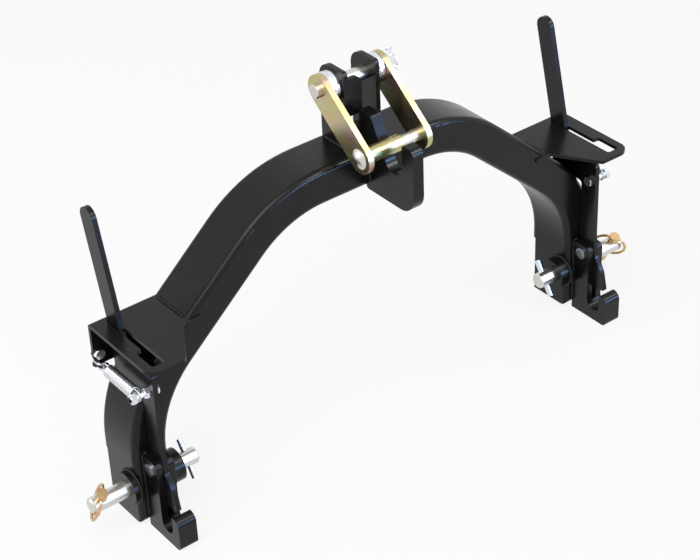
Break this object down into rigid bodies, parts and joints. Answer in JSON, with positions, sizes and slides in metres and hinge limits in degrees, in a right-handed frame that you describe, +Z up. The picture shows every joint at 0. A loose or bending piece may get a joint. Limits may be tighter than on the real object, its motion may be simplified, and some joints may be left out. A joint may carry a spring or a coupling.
{
  "type": "three point quick hitch",
  "caption": "Bent-tube arch quick hitch that joins a tractor three point linkage to an implement with latching lower hooks and a bailed upper hook.",
  "frame": {"origin": "midway between the two lower hitch pins, on their common axis", "axes": "+X along the hitch pins to the right as seen from behind, +Y forwards to the tractor, +Z up"},
  "size_m": [0.9134, 0.1824, 0.511],
  "materials": {
    "black_powder_coat": "glossy black powder coat",
    "yellow_zinc": "yellow zinc chromate with faint pink and green iridescence",
    "bright_zinc": "bright clear zinc plate",
    "pin_steel": "zinc plated round bar",
    "ring_wire": "copper tinted yellow zinc",
    "spring_wire": "bright zinc plated spring wire"
  },
  "bodies": {
    "frame": {"arch_tube": "black_powder_coat", "upper_hook": "black_powder_coat", "top_pin": "pin_steel", "castle_nut": "bright_zinc", "left_hook_plate_outer": "black_powder_coat", "left_hook_plate_inner": "black_powder_coat", "left_hook_filler": "black_powder_coat", "left_pivot_bolt": "bright_zinc", "left_guide_plate": "black_powder_coat", "left_eye_bolt": "bright_zinc", "left_flange_bolt": "bright_zinc", "left_hitch_pin": "pin_steel", "left_roll_pin": "bright_zinc", "left_boss_outer": "black_powder_coat", "left_boss_inner": "black_powder_coat", "left_linchpin": "ring_wire", "left_mast_ear": "black_powder_coat", "left_latch_spring": "spring_wire", "left_washer_1": "bright_zinc", "left_washer_2": "bright_zinc", "left_washer_3": "bright_zinc", "right_hook_plate_outer": "black_powder_coat", "right_hook_plate_inner": "black_powder_coat", "right_hook_filler": "black_powder_coat", "right_pivot_bolt": "bright_zinc", "right_guide_plate": "black_powder_coat", "right_eye_bolt": "bright_zinc", "right_flange_bolt": "bright_zinc", "right_hitch_pin": "pin_steel", "right_roll_pin": "bright_zinc", "right_boss_outer": "black_powder_coat", "right_boss_inner": "black_powder_coat", "right_linchpin": "ring_wire", "right_mast_ear": "black_powder_coat", "right_latch_spring": "spring_wire", "right_washer_1": "bright_zinc", "right_washer_2": "bright_zinc", "right_washer_3": "bright_zinc"},
    "left_latch": {"left_latch_lever": "black_powder_coat", "left_spring_bolt": "bright_zinc"},
    "left_ring": {"left_linchpin_ring": "ring_wire"},
    "right_latch": {"right_latch_lever": "black_powder_coat", "right_spring_bolt": "bright_zinc"},
    "right_ring": {"right_linchpin_ring": "ring_wire"},
    "bail": {"left_bail_link": "yellow_zinc", "right_bail_link": "yellow_zinc", "bail_pin": "pin_steel", "bail_sleeve": "yellow_zinc"}
  },
  "joints": [
    {"name": "left_latch_swing", "type": "hinge", "parent": "frame", "child": "left_latch", "pos_m": [-0.365, -0.029, 0.038], "axis": [1, 0, 0], "range_deg": [0, 26], "stiffness_Nm_per_rad": 31, "springref_deg": -12.95, "deforming": ["left_latch_spring"]},
    {"name": "left_ring_swing", "type": "hinge", "parent": "frame", "child": "left_ring", "pos_m": [-0.438, -0.0078, 0.016], "axis": [0.6157, 0.7083, 0.3454], "range_deg": [0, 165]},
    {"name": "right_latch_swing", "type": "hinge", "parent": "frame", "child": "right_latch", "pos_m": [0.365, -0.029, 0.038], "axis": [1, 0, 0], "range_deg": [0, 26], "stiffness_Nm_per_rad": 31, "springref_deg": -12.95, "deforming": ["right_latch_spring"]},
    {"name": "right_ring_swing", "type": "hinge", "parent": "frame", "child": "right_ring", "pos_m": [0.438, -0.0078, 0.016], "axis": [0.6157, -0.7083, -0.3454], "range_deg": [0, 165]},
    {"name": "bail_swing", "type": "hinge", "parent": "frame", "child": "bail", "pos_m": [0, 0.031, 0.425], "axis": [-1, 0, 0], "range_deg": [0, 235]}
  ]
}
